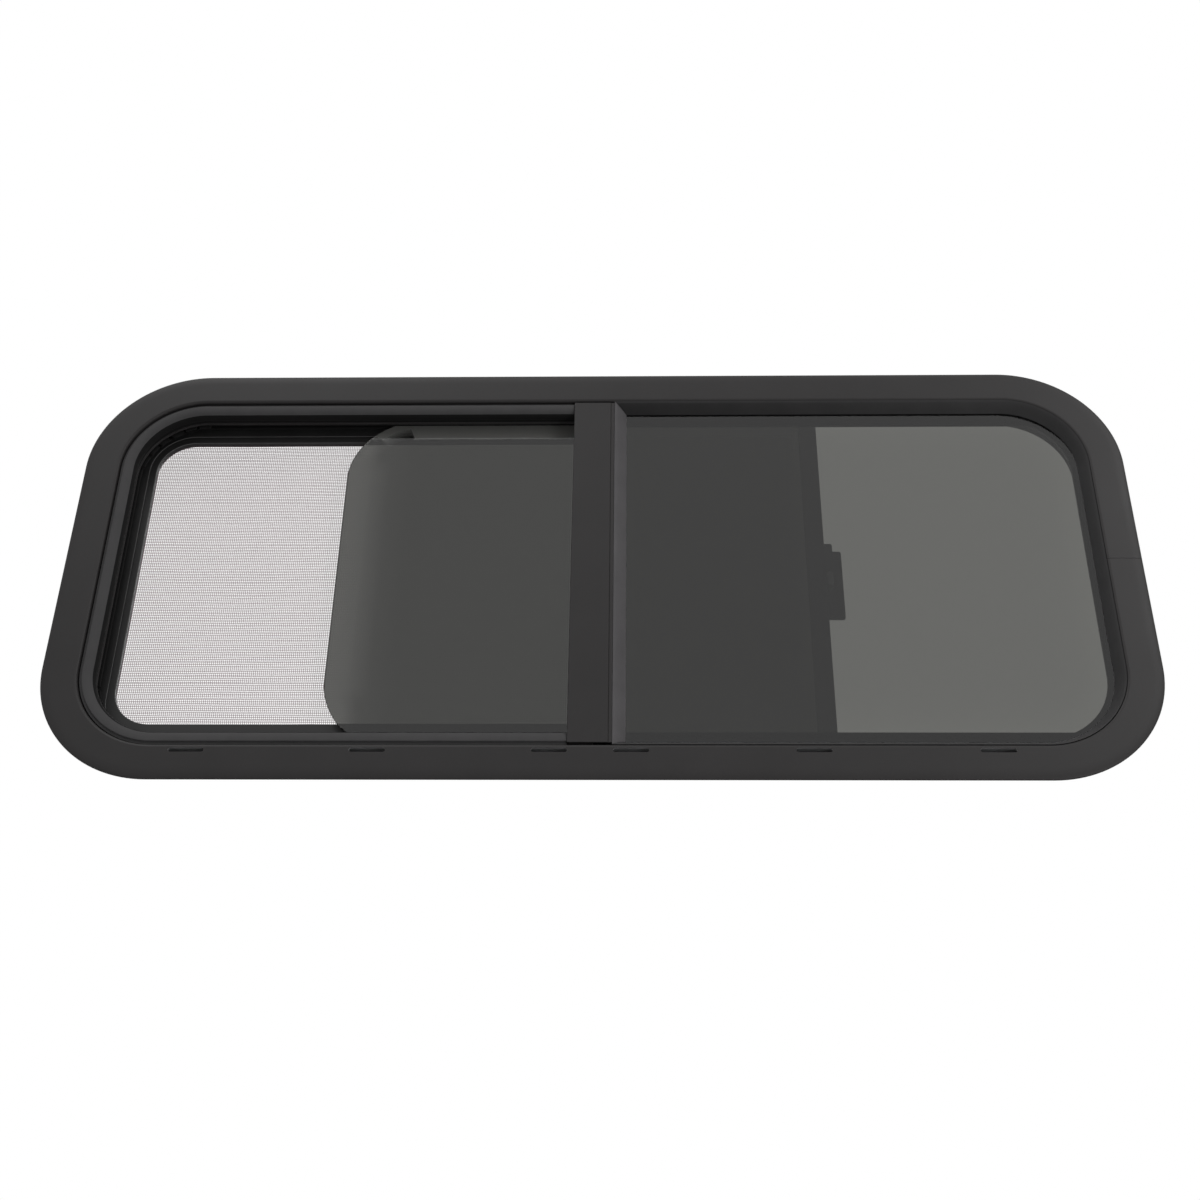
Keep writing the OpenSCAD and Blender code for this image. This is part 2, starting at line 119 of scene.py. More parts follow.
# Stations of a section that stands upright between two heights, with its own x as inset
def uprightRun(low, high):
    return np.array([[0, low, 1, 0], [0, high, 1, 0]], float)


# Quads between neighbouring rows of a grid whose columns close on themselves
def gridFaces(rows, columns, closed=False, capped=True):
    i = np.arange(rows if closed else rows - 1)[:, None]
    j = np.arange(columns)[None, :]
    nextI, nextJ = (i + 1) % rows, (j + 1) % columns
    corners = (i * columns + j, nextI * columns + j, nextI * columns + nextJ, i * columns + nextJ)
    quads = np.stack(np.broadcast_arrays(*corners), axis=-1).reshape(-1, 4)
    caps = [] if closed or not capped else [np.arange(columns), np.arange(columns) + (rows - 1) * columns]
    return quads, caps


# A section point (s, h) at a station (x, y, dx, dy) lies at (x + s dx, y + s dy, h)
def sweep(section, stations, closed=False, finish=0, inset=None, height=None):
    s = section[None, :, 0] if inset is None else inset
    h = section[None, :, 1] if height is None else height
    x, y, dx, dy = (column[:, None] for column in stations.T)
    grid = np.stack(np.broadcast_arrays(x + s * dx, y + s * dy, h + 0 * x), axis=-1)
    step = np.linalg.norm(np.diff(stations[:, :2], axis=0), axis=1)
    along = np.repeat(np.concatenate([[0], np.cumsum(step)]), len(section))
    quads, caps = gridFaces(len(stations), len(section), closed)
    worn = np.tile(section[:, 2], len(stations))
    return {"points": grid.reshape(-1, 3), "quads": quads, "caps": caps, "worn": worn, "along": along,
            "finish": finish}


# Rows of equal loops one behind the other, closed at both ends
def loft(rows, finish=0, worn=0.0, capped=True):
    rows = np.asarray(rows, float)
    quads, caps = gridFaces(rows.shape[0], rows.shape[1], capped=capped)
    count = rows.shape[0] * rows.shape[1]
    wearAndHighlight = np.broadcast_to(np.asarray(worn, float), rows.shape[:1])
    return {"points": rows.reshape(-1, 3), "quads": quads, "caps": caps,
            "worn": np.repeat(wearAndHighlight, rows.shape[1]), "along": np.zeros(count), "finish": finish}


# A rectangle of width w and height h with round corners, about (x, y), as a loop of points
def padLoop(x, y, w, h, r, steps=5):
    angle = np.radians(np.linspace(0, 90, steps + 1))[None, :] + np.radians([[0], [90], [180], [270]])
    sideX = np.array([[1], [-1], [-1], [1]])
    sideY = np.array([[1], [1], [-1], [-1]])
    across = x + sideX * (w / 2 - r) + r * np.cos(angle)
    upward = y + sideY * (h / 2 - r) + r * np.sin(angle)
    return np.stack([across, upward], -1).reshape(-1, 2)


# A pad of that outline from height h0 to h1, whose edges at h0 and h1 are rounded by cut0 and cut1
def softPad(x, y, w, h, r, h0, h1, cut0=0.0, cut1=0.0):
    u = np.linspace(0, 1, 4)
    lean = np.concatenate([cut0 * (1 - u) ** 2, cut1 * u ** 2])
    level = np.concatenate([h0 + cut0 * u ** 2, h1 - cut1 * (1 - u) ** 2])
    rows = [
        np.column_stack([padLoop(x, y, w - 2 * k, h - 2 * k, max(r - k, 0.05)), np.full(24, z)])
        for k, z in zip(lean, level)]
    worn = np.concatenate([4 * u * (1 - u) * (cut0 > 0), 4 * u * (1 - u) * (cut1 > 0)])
    return loft(rows, worn=worn)


# Puts the parts of a piece into one mesh, merges what coincides and turns its faces outwards
def makePiece(name, parts, finishes, body, nodes=(), angle=35):
    offset, faces, index = 0, [], []
    for part in parts:
        own = (part["quads"] + offset).tolist() + [(cap + offset).tolist() for cap in part["caps"]]
        faces += own
        index += [part["finish"]] * len(own)
        offset += len(part["points"])
    mesh = bpy.data.meshes.new(name)
    mesh.from_pydata(standUp(np.vstack([part["points"] for part in parts])).tolist(), [], faces)
    for key in ("worn", "along"):
        mesh.attributes.new(key, "FLOAT", "POINT").data.foreach_set(
            "value", np.concatenate([part[key] for part in parts]).astype(np.float32))
    mesh.polygons.foreach_set("material_index", np.array(index, np.int32))
    shell = bmesh.new()
    shell.from_mesh(mesh)
    bmesh.ops.remove_doubles(shell, verts=shell.verts, dist=2e-6)
    bmesh.ops.dissolve_degenerate(shell, edges=shell.edges, dist=1e-6)
    bmesh.ops.recalc_face_normals(shell, faces=shell.faces)
    shell.to_mesh(mesh)
    shell.free()
    mesh.shade_smooth()
    mesh.set_sharp_from_angle(angle=math.radians(angle))
    for finish in finishes:
        mesh.materials.append(finish)
    piece = bpy.data.objects.new(name, mesh)
    bpy.context.scene.collection.objects.link(piece)
    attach(piece, body)
    if nodes:
        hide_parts(*nodes)
    print(f"{name}: {len(mesh.polygons)} faces")
    return piece


# A math node fed with numbers and with other nodes' outputs
def mathNode(tree, operation, *feeds):
    node = tree.nodes.new("ShaderNodeMath")
    node.operation = operation
    for place, feed in enumerate(feeds):
        if isinstance(feed, float):
            node.inputs[place].default_value = feed
        else:
            tree.links.new(feed, node.inputs[place])
    return node.outputs[0]


# The grey value of a noise at the object's own coordinates
def noiseNode(tree, scale, detail):
    noise = tree.nodes.new("ShaderNodeTexNoise")
    noise.inputs["Scale"].default_value = scale
    noise.inputs["Detail"].default_value = detail
    tree.links.new(tree.nodes.new("ShaderNodeTexCoord").outputs["Object"], noise.inputs["Vector"])
    return noise.outputs["Fac"]


# A value of the mesh's own, such as "worn"
def ownValue(tree, name):
    node = tree.nodes.new("ShaderNodeAttribute")
    node.attribute_name = name
    return node.outputs["Fac"]


# Takes value from its range of 0 to 1 to the range low to high
def rangeNode(tree, value, low, high):
    node = tree.nodes.new("ShaderNodeMapRange")
    node.inputs["To Min"].default_value = low
    node.inputs["To Max"].default_value = high
    tree.links.new(value, node.inputs["Value"])
    return node.outputs["Result"]


# Colour first where share is nought and second where it is one; first may be another node's output
def mixNode(tree, share, first, second):
    node = tree.nodes.new("ShaderNodeMix")
    node.data_type = "RGBA"
    tree.links.new(share, node.inputs["Factor"])
    if isinstance(first, tuple):
        node.inputs["A"].default_value = (*first, 1)
    else:
        tree.links.new(first, node.inputs["A"])
    node.inputs["B"].default_value = (*second, 1)
    return node.outputs["Result"]


def bumpNode(tree, height, strength, distance):
    node = tree.nodes.new("ShaderNodeBump")
    node.inputs["Strength"].default_value = strength
    node.inputs["Distance"].default_value = distance
    tree.links.new(height, node.inputs["Height"])
    return node.outputs["Normal"]


# A finish with a coarse and a fine noise: the coarse one varies colour and roughness, the fine one is the
# grain. Round edges go a share of the way to a lighter edge colour: edge wear on most finishes, and a
# painted highlight where the share is large, as on the screen frame.
def makeFinish(name, look):
    material = bpy.data.materials.new(name)
    material.use_nodes = True
    tree = material.node_tree
    shader = tree.nodes["Principled BSDF"]
    patch = noiseNode(tree, 1000 / look["patch"], 4)
    grain = noiseNode(tree, 1000 / look["grain"], 2)
    ramp = tree.nodes.new("ShaderNodeValToRGB")
    colour, spread = np.array(look["colour"]), look.get("spread", 0.12)
    for end, position, share in zip(ramp.color_ramp.elements, (0.35, 0.85), (1 - spread, 1 + spread)):
        end.position = position
        end.color = (*(colour * share), 1)
    tree.links.new(mathNode(tree, "MULTIPLY_ADD", grain, 0.3, patch), ramp.inputs["Fac"])
    edgeWearAndHighlight = mathNode(tree, "MULTIPLY", ownValue(tree, "worn"), patch)
    share = mathNode(tree, "MULTIPLY", edgeWearAndHighlight, look.get("wearAndHighlight", 0.25))
    wornAndHighlightColour = look.get("wornAndHighlightColour", tuple(colour * 2.2))
    tree.links.new(mixNode(tree, share, ramp.outputs["Color"], wornAndHighlightColour), shader.inputs["Base Color"])
    tree.links.new(rangeNode(tree, patch, *look["rough"]), shader.inputs["Roughness"])
    tree.links.new(bumpNode(tree, grain, 0.6, look["relief"] * 0.001), shader.inputs["Normal"])
    shader.inputs["Specular IOR Level"].default_value = look.get("gloss", 0.4)
    shader.inputs["Metallic"].default_value = look.get("metal", 0.0)
    shader.inputs["Sheen Weight"].default_value = look.get("sheen", 0.0)
    shader.inputs["Sheen Roughness"].default_value = 0.6
    return material


# Grey tinted glass. The tint runs from the inside colour to the rim colour by the pane's own rim value. On
# the sash
# that is painted light and shade: a light band along its left edge and a dark inside. On the fixed pane the
# rim is only a little lighter. Where its value "along" is one, a lighter and less clear film is painted on:
# a painted reflection.
def makeGlass(name, look):
    material = bpy.data.materials.new(name)
    material.use_nodes = True
    tree = material.node_tree
    shader = tree.nodes["Principled BSDF"]
    paintedReflectionShare = ownValue(tree, "along")
    tint = mixNode(tree, ownValue(tree, "worn"), look["inside"], look["rim"])
    tree.links.new(mixNode(tree, paintedReflectionShare, tint, glass["paintedReflectionColour"]), shader.inputs["Base Color"])
    smear = noiseNode(tree, 9, 5)
    tree.links.new(rangeNode(tree, smear, *glass["rough"]), shader.inputs["Roughness"])
    tree.links.new(bumpNode(tree, smear, 0.15, 0.0002), shader.inputs["Normal"])
    tree.links.new(rangeNode(tree, paintedReflectionShare, 1.0, look["clear"]), shader.inputs["Transmission Weight"])
    shader.inputs["IOR"].default_value = glass["ior"]
    return material


looks = {
    "frameCoat": {"colour": (0.0215, 0.0202, 0.0204), "rough": (0.42, 0.56), "gloss": 0.2, "patch": 60,
                  "grain": 0.9, "relief": 0.04, "spread": 0.1, "wearAndHighlight": 0.15},
    "cutEdge": {"colour": (0.30, 0.30, 0.305), "rough": (0.35, 0.6), "gloss": 0.5, "patch": 8, "grain": 0.6,
                "relief": 0.05, "metal": 0.6},
    "bareMetal": {"colour": (0.45, 0.45, 0.46), "rough": (0.3, 0.5), "gloss": 0.5, "patch": 30,
                  "grain": 0.8, "relief": 0.02, "metal": 1.0},
    # the screen frame's edges go most of the way to a light grey: a painted highlight along them
    "screenCoat": {"colour": (0.009, 0.009, 0.009), "rough": (0.4, 0.6), "gloss": 0.35, "patch": 40,
                   "grain": 0.7, "relief": 0.03, "wearAndHighlight": 0.9, "wornAndHighlightColour": (0.12, 0.12, 0.12)},
    "wedgeRubber": {"colour": (0.078, 0.075, 0.078), "rough": (0.6, 0.75), "gloss": 0.2, "patch": 25,
                    "grain": 0.5, "relief": 0.05},
    "trimRubber": {"colour": (0.036, 0.0353, 0.036), "rough": (0.55, 0.7), "gloss": 0.2, "patch": 25,
                   "grain": 0.5, "relief": 0.05},
    "beadRubber": {"colour": (0.049, 0.048, 0.049), "rough": (0.6, 0.78), "gloss": 0.15, "patch": 20,
                   "grain": 0.5, "relief": 0.06, "sheen": 0.05},
    "channelLiner": {"colour": (0.0045, 0.0045, 0.0045), "rough": (0.7, 0.9), "gloss": 0.1, "patch": 12,
                     "grain": 0.4, "relief": 0.08, "sheen": 0.03},
    "splineVinyl": {"colour": (0.007, 0.007, 0.007), "rough": (0.4, 0.55), "gloss": 0.3, "patch": 10,
                    "grain": 0.5, "relief": 0.04},
    "brushPile": {"colour": (0.012, 0.012, 0.012), "rough": (0.8, 0.95), "gloss": 0.1, "patch": 4,
                  "grain": 0.25, "relief": 0.2, "sheen": 0.2},
    "screenYarn": {"colour": (0.20, 0.12, 0.14), "rough": (0.5, 0.7), "gloss": 0.3, "patch": 30,
                   "grain": 0.4, "relief": 0.02},
    "latchPlastic": {"colour": (0.012, 0.012, 0.0125), "rough": (0.42, 0.55), "gloss": 0.4, "patch": 12,
                     "grain": 0.35, "relief": 0.05},
    "glideNylon": {"colour": (0.62, 0.60, 0.55), "rough": (0.45, 0.6), "gloss": 0.4, "patch": 10,
                   "grain": 0.6, "relief": 0.03},
    "screwZinc": {"colour": (0.5, 0.5, 0.51), "rough": (0.28, 0.42), "gloss": 0.5, "patch": 3, "grain": 0.4,
                  "relief": 0.01, "metal": 1.0},
}
finish = {name: makeFinish(name, look) for name, look in looks.items()}
print(f"finishes: {len(finish)}")


view = {
    "place": (0.03343, -1.22148, -0.59564),
    "aim": (0.00067, -0.0030, 0.16074),
    "roll": 0.744,  # degrees, about the line of sight
    "lens": 49.337,
    "sensor": 36.0,
}
camera = bpy.data.objects.new("camera", bpy.data.cameras.new("camera"))
camera.data.lens = view["lens"]
camera.data.sensor_width = view["sensor"]
camera.data.clip_start = 0.05
camera.location = view["place"]
sight = (Vector(view["aim"]) - Vector(view["place"])).to_track_quat("-Z", "Y")
camera.rotation_mode = "QUATERNION"
camera.rotation_quaternion = sight @ Quaternion((0, 0, 1), math.radians(view["roll"]))
bpy.context.scene.collection.objects.link(camera)
bpy.context.scene.camera = camera
bpy.context.scene.view_settings.view_transform = "Standard"

lamps = {
    "key": {"place": (-1.0, -1.8, 3.0), "aim": (0, 0, 0.2), "size": (1.6, 1.2), "power": 30},
    "low": {"place": (0.4, -1.0, -0.75), "aim": (0, 0, 0.0), "size": (2.0, 0.2), "power": 1.5},
    "side": {"place": (1.25, -1.3, 1.15), "aim": (0.4, 0, 0.2), "size": (0.3, 0.7), "power": 10},
    "under": {"place": (1.3, -1.3, -0.55), "aim": (0.35, 0, 0.05), "size": (0.5, 0.5), "power": 6},
    "back": {"place": (0.2, 2.0, 1.2), "aim": (0, 0, 0.2), "size": (1.2, 1.2), "power": 18},
}
for name, lamp in lamps.items():
    light = bpy.data.lights.new(name, "AREA")
    light.shape = "RECTANGLE"
    light.size, light.size_y = lamp["size"]
    light.energy = lamp["power"]
    holder = bpy.data.objects.new(name, light)
    holder.location = lamp["place"]
    holder.rotation_mode = "QUATERNION"
    holder.rotation_quaternion = (Vector(lamp["aim"]) - Vector(lamp["place"])).to_track_quat("-Z", "Y")
    holder.visible_camera = False
    holder.visible_transmission = False
    bpy.context.scene.collection.objects.link(holder)

surround = {"seen": 1.0, "given": 0.45, "floor": 0.5, "floorGlow": 0.97, "floorSeen": 0.7,
            "floorHeight": -0.9, "floorSize": 6.0}


# One for the rays that show the surroundings, straight, mirrored or through a pane, and nought for those
# that light the object
def seenRays(tree):
    path = tree.nodes.new("ShaderNodeLightPath")
    first = mathNode(tree, "MAXIMUM", path.outputs["Is Camera Ray"], path.outputs["Is Glossy Ray"])
    return mathNode(tree, "MAXIMUM", first, path.outputs["Is Transmission Ray"])


world = bpy.data.worlds.new("surround")
bpy.context.scene.world = world
world.use_nodes = True
tree = world.node_tree
tree.nodes.clear()
shown = tree.nodes.new("ShaderNodeBackground")
shown.inputs["Strength"].default_value = surround["seen"]
given = tree.nodes.new("ShaderNodeBackground")
given.inputs["Strength"].default_value = surround["given"]
for sky in (shown, given):
    sky.inputs["Color"].default_value = (1, 1, 1, 1)
choose = tree.nodes.new("ShaderNodeMixShader")
tree.links.new(seenRays(tree), choose.inputs[0])
tree.links.new(given.outputs[0], choose.inputs[1])
tree.links.new(shown.outputs[0], choose.inputs[2])
tree.links.new(choose.outputs[0], tree.nodes.new("ShaderNodeOutputWorld").inputs[0])

# The floor is pale from above, keeps a shadow, and lets a view from below through
floorMaterial = bpy.data.materials.new("paleFloor")
floorMaterial.use_nodes = True
tree = floorMaterial.node_tree
tree.nodes.clear()
paint = tree.nodes.new("ShaderNodeBsdfDiffuse")
paint.inputs["Color"].default_value = (surround["floor"],) * 3 + (1,)
glow = tree.nodes.new("ShaderNodeEmission")
glow.inputs["Strength"].default_value = surround["floorGlow"]
soft = tree.nodes.new("ShaderNodeMixShader")
tree.links.new(mathNode(tree, "MULTIPLY", seenRays(tree), surround["floorSeen"]), soft.inputs[0])
tree.links.new(paint.outputs[0], soft.inputs[1])
tree.links.new(glow.outputs[0], soft.inputs[2])
clear = tree.nodes.new("ShaderNodeBsdfTransparent")
side = tree.nodes.new("ShaderNodeNewGeometry")
faced = tree.nodes.new("ShaderNodeMixShader")
tree.links.new(side.outputs["Backfacing"], faced.inputs[0])
tree.links.new(soft.outputs[0], faced.inputs[1])
tree.links.new(clear.outputs[0], faced.inputs[2])
tree.links.new(faced.outputs[0], tree.nodes.new("ShaderNodeOutputMaterial").inputs[0])
floorMesh = bpy.data.meshes.new("floor")
reach = surround["floorSize"]
floorCorners = [(-reach, -reach), (reach, -reach), (reach, reach), (-reach, reach)]
floorMesh.from_pydata([(x, y, surround["floorHeight"]) for x, y in floorCorners], [], [(0, 1, 2, 3)])
floorMesh.materials.append(floorMaterial)
floor = bpy.data.objects.new("floor", floorMesh)
bpy.context.scene.collection.objects.link(floor)
print("camera, light and floor are set")


ring = {
    "flangeT": 3.0,
    "rimT": 1.2,
    "crownW": 10.0,
    "flangeW": 31.5,
    "edgeR": 2.6,
    "bodyOut": 22.0,
    "bodyIn": 23.8,
    "floorIn": 35.0,
    "webs": ((-14, -16, 44.0), (-26, -28, 40.0)),  # front, back and inset of the end
    "lips": ((-31.6, -33.2, 29.8), (-36.4, -38, 29.8)),
    "seamY": 2.5,
    "seamGap": 0.3,
    "slotMid": -6.0,
    "slotAt": (34, 185, 336),  # from the middle of the row, both ways
    "slotL": 30.0,
    "slotW": 4.0,
    "slotInset": 26.2,
    "pocket": (1.15, 2.9, 26.75),  # how much longer than the slot, half its width and inset of its middle
}
u = np.linspace(0, 90, 9)
crown = np.column_stack([
    ring["crownW"] * (1 - np.cos(np.radians(u))),
    ring["rimT"] + (ring["flangeT"] - ring["rimT"]) * np.sin(np.radians(u)), 0 * u])
flangeW, floorIn, bodyIn, bodyOut = ring["flangeW"], ring["floorIn"], ring["bodyIn"], ring["bodyOut"]
(web1Front, web1Back, web1In), (web2Front, web2Back, web2In) = ring["webs"]
(lip1Front, lip1Back, lipIn), (lip2Front, lip2Back, lip2In) = ring["lips"]
ringCorners = [
    [0, 0, 0.2], *crown.tolist(), [flangeW, ring["flangeT"], ring["edgeR"]], [flangeW, web1Front, 0.2],
    [web1In, web1Front, 0.7], [web1In, web1Back, 0.7], [floorIn, web1Back, 0.2], [floorIn, web2Front, 0.2],
    [web2In, web2Front, 0.7], [web2In, web2Back, 0.7], [bodyIn, web2Back, 0.2], [bodyIn, lip1Front, 0.2],
    [lipIn, lip1Front, 0.5], [lipIn, lip1Back, 0.5], [bodyIn, lip1Back, 0.2], [bodyIn, lip2Front, 0.2],
    [lip2In, lip2Front, 0.5], [lip2In, lip2Back, 0.5], [bodyOut, lip2Back, 0.3], [bodyOut, 0, 0.1]]
section = roundedLoop(ringCorners)
# two more points lie on the flat of the flange and part where a slot is
flat = int(np.argmax(section[:, 0] > ring["slotInset"] - 0.2))
slotPair = np.array([[ring["slotInset"], ring["flangeT"], 0]] * 2)
section = np.vstack([section[:flat], slotPair, section[flat:]])

# Half width of a slot at distance d from its middle: w/2, falling as a half circle over the last w/2
endTurn = np.radians(np.linspace(90, 0, 6))
slotX = ring["slotL"] / 2 - ring["slotW"] / 2 + ring["slotW"] / 2 * np.sin(endTurn)
slotHalf = ring["slotW"] / 2 * np.cos(endTurn)
oneX = np.concatenate([-slotX, slotX[::-1]])
oneHalf = np.concatenate([slotHalf, slotHalf[::-1]])
slotMids = np.sort([ring["slotMid"] + way * d for way in (-1, 1) for d in ring["slotAt"]])
bottomX = (slotMids[:, None] + oneX[None, :]).ravel()
bottomHalf = np.tile(oneHalf, len(slotMids))
bottom = np.column_stack([bottomX, bottomX * 0 - halfH, bottomX * 0, bottomX * 0 + 1])
seamUp = [halfW, ring["seamY"] + ring["seamGap"] / 2, -1, 0]
seamDown = [halfW, ring["seamY"] - ring["seamGap"] / 2, -1, 0]
before = np.vstack([seamUp, bend(1, 1, 0, 90), bend(-1, 1, 90, 180), bend(-1, -1, 180, 270)])
after = np.vstack([bend(1, -1, 270, 360), seamDown])
stations = np.vstack([before, bottom, after])
opening = np.concatenate([np.zeros(len(before)), bottomHalf, np.zeros(len(after))])
inset = np.tile(section[:, 0], (len(stations), 1))
inset[:, flat] -= opening
inset[:, flat + 1] += opening
body = sweep(section, stations, inset=inset)
# the faces inside a slot go, and a pocket of four rows takes their place
column = body["quads"][:, 0] % len(section)
row = body["quads"][:, 0] // len(section)
inSlot = (row >= len(before)) & (row < len(before) + len(bottom))
inSlot &= (row - len(before)) % len(oneX) < len(oneX) - 1
body["quads"] = body["quads"][~((column == flat) & inSlot)]
parts = [body]
for mid in slotMids:
    x = np.concatenate([mid + oneX, (mid + oneX)[::-1][1:-1]])
    wide = np.concatenate([-oneHalf, oneHalf[::-1][1:-1]])
    lip = np.column_stack([x, wide - halfH + ring["slotInset"]])
    longer, half, middle = ring["pocket"]
    room = np.column_stack([mid + (x - mid) * longer, np.sign(np.round(wide, 6)) * half - halfH + middle])
    levels = ((lip, ring["flangeT"]), (lip, 0), (room, 0), (room, web1Front))
    rows = [np.column_stack([loop, np.full(len(x), z)]) for loop, z in levels]
    pocket = loft(rows, finish=1, capped=False)
    pocket["caps"] = [np.arange(len(x)) + 3 * len(x)]
    parts.append(pocket)
makePiece("frameRing", parts, [finish["frameCoat"], finish["cutEdge"]], "root",
          ["outer_frame"])


# The bead has a low skirt against the flange, is upright on its outer side, and from its shoulder on it is
# a quarter ellipse towards the opening. From a given inset on, its inner side takes the black liner finish:
# painted shade on the flank that faces the opening.
bead = {"skirt": 32.4, "outer": 34.9, "inner": 46.0, "shoulder": 36.5, "top": 1.6, "dome": 7.2,
        "heel": 43.2, "paintedShadeFrom": 43.7, "end": 0.3}
u = np.radians(np.linspace(0, 90, 10))
fall = bead["inner"] - bead["shoulder"]
dome = np.column_stack([
    bead["shoulder"] + fall * np.sin(u), bead["top"] - bead["dome"] * (1 - np.cos(u)), 0 * u])
beadCorners = [
    [bead["heel"], web1Front, 0.3], [36.3, web1Front, 0.3], [36.3, -12, 0.2], [37.7, -10.6, 0.3],
    [37.7, -6, 0.4], [bead["skirt"], -3.4, 0.3], [bead["skirt"], -0.4, 0.3], [bead["outer"], -0.4, 0.3],
    [bead["outer"], bead["top"], 0.9], *dome.tolist(), [bead["inner"], -6.4, 0.4],
    [bead["heel"], -9.2, 0.3]]
mullL = -25.5  # the mullion's left side, where the bead ends
beadSection = roundedLoop(beadCorners)
beadPart = sweep(beadSection, leftRound(mullL - bead["end"]))
near = beadPart["quads"][:, 0] % len(beadSection)
# painted shade: the bead's faces from that inset inwards are drawn black, though they are the same rubber
dark = near >= np.argmax(beadSection[:, 0] > bead["paintedShadeFrom"])
low = beadSection[near, 0] < bead["outer"] - 0.05
paintedShadeFlank = dict(beadPart, quads=beadPart["quads"][dark], caps=[], finish=1)
skirt = dict(beadPart, quads=beadPart["quads"][low & ~dark], caps=[], finish=2)
beadPart["quads"] = beadPart["quads"][~dark & ~low]
beadFinishes = [finish["beadRubber"], finish["channelLiner"], finish["trimRubber"]]
makePiece("beadSeal", [beadPart, paintedShadeFlank, skirt], beadFinishes, "root", ["exterior_seal"],
          angle=60)

liner = {
    "front": -16.1,
    "back": -25.9,
    "wall": 1.2,
    "bulb": 2.6,
    "frontEnd": 46.0,
    "straightEnd": 43.4,
    "backEnd": 42.0,
    "cuts": (10.5, 26, 39.5, 51.5, 65, 77.5),  # degrees from the end of the straight side, round each bend
    "cutW": (4.4, 3.2, 4.2, 6.4, 4.0, 3.4),
    "cutFrom": 37.2,
}
front, back, wall, bulb = liner["front"], liner["back"], liner["wall"], liner["bulb"]
frontEnd, backEnd = liner["frontEnd"], liner["backEnd"]
linerCorners = [
    [35.1, back, 0.2], [backEnd, back, 0.9], [backEnd, back + bulb, 0.9], [backEnd - 2.2, back + bulb, 0.5],
    [backEnd - 2.8, back + wall, 0.3], [36.3, back + wall, 0.2], [36.3, front - wall, 0.2],
    [frontEnd - 2.8, front - wall, 0.3], [frontEnd - 2.2, front - bulb, 0.5], [frontEnd, front - bulb, 0.9],
    [frontEnd, front, 0.7], [35.1, front, 0.2]]
linerSection = roundedLoop(linerCorners, steps=2, support=0.1)
linerSteps = 150
linerStations = np.vstack([
    [centreX, halfH, 0, -1], bend(-1, 1, 90, 180, linerSteps), bend(-1, -1, 180, 270, linerSteps),
    [centreX, -halfH, 0, 1]])
angle = np.degrees(np.arctan2(-linerStations[:, 3], -linerStations[:, 2])) % 360
turn = np.where(np.abs(angle - 180) < 90, np.abs(angle - 180), 1000)
# a cut is a V: its half width grows from nought at cutFrom to cutW/2 at the lip
cutAt, cutW = np.array(liner["cuts"]), np.array(liner["cutW"])
openEnd = frontEnd + 1
away = np.radians(np.abs(turn[:, None] - cutAt[None, :])) * (cornerR - openEnd)
limit = liner["cutFrom"] + (away * 2 * (openEnd - liner["cutFrom"]) / cutW).min(axis=1)
linerInset = np.minimum(linerSection[None, :, 0], limit[:, None])
# each tab between two cuts leans its own way: its lip stands in or out and drops by a few tenths
tab = (turn[:, None] > cutAt[None, :]).sum(axis=1) + 7 * (angle > 180)
random = np.random.default_rng(12)
leanOut = random.normal(0.1, 0.55, 14)[tab]
leanDown = random.uniform(0.0, 0.2, 14)[tab]
inBend = (turn < cutAt.max()) & (turn > cutAt.min())
atLip = np.clip((linerSection[:, 0] - 40.5) / 5.5, 0, 1) * (linerSection[:, 1] > -21)
linerInset = linerInset + (inBend * leanOut)[:, None] * atLip[None, :]
linerHeight = linerSection[None, :, 1] - (inBend * leanDown)[:, None] * atLip[None, :]
# on the straight runs the front lip ends sooner
straightLip = np.minimum(linerInset, np.where(linerSection[None, :, 1] > -21, liner["straightEnd"], 99.0))
linerInset = np.where((turn < 89)[:, None], linerInset, straightLip)
linerPart = sweep(linerSection, linerStations, inset=linerInset, height=linerHeight)
makePiece("channelLiner", [linerPart], [finish["channelLiner"]], "root", ["sash_channel"])

slopeTop, glassFront, slopeFoot = 2.8, -9.0, 0.25


# Height of the sloping trim at t = 0 on the flange and t = 1 on the glass
def slope(t):
    return slopeTop - (slopeTop - glassFront - slopeFoot) * t ** 1.25


# Section of a wedge from inset s to s + w, tall side first
def slopeSection(s, w, steps=10):
    t = np.linspace(0, 1, steps + 1)
    face = np.column_stack([s + w * t, slope(t), 0 * t])
    face[0, 2] = face[-1, 2] = 0.15
    return roundedLoop([[s, glassFront, 0], *face.tolist(), [s + w, glassFront, 0]], steps=2, support=0.1)


lipEnd = 12.1
wedgeW, trimW, trimIn = 11.0, 7.5, 31.6
lean = wedgeW / trimW
trimStart = lipEnd + 0.2 - flangeW * lean
trimStations = np.vstack([
    [trimStart, halfH, lean, -1], bend(1, 1, 90, 0), bend(1, -1, 360, 270), [trimStart, -halfH, lean, 1]])
makePiece("glazingTrim", [sweep(slopeSection(trimIn, trimW - 0.1), trimStations)], [finish["trimRubber"]],
          "root", ["glazing_trim"], angle=50)
wedgeEnd = halfH - trimIn - 0.2 + (lipEnd + 0.1) / lean
wedgeStations = np.array([[0, -wedgeEnd, 1, 1 / lean], [0, wedgeEnd, 1, -1 / lean]])
makePiece("mullionWedge", [sweep(slopeSection(lipEnd + 0.1, wedgeW), wedgeStations)],
          [finish["wedgeRubber"]], "root", ["mullion_wedge"], angle=50)


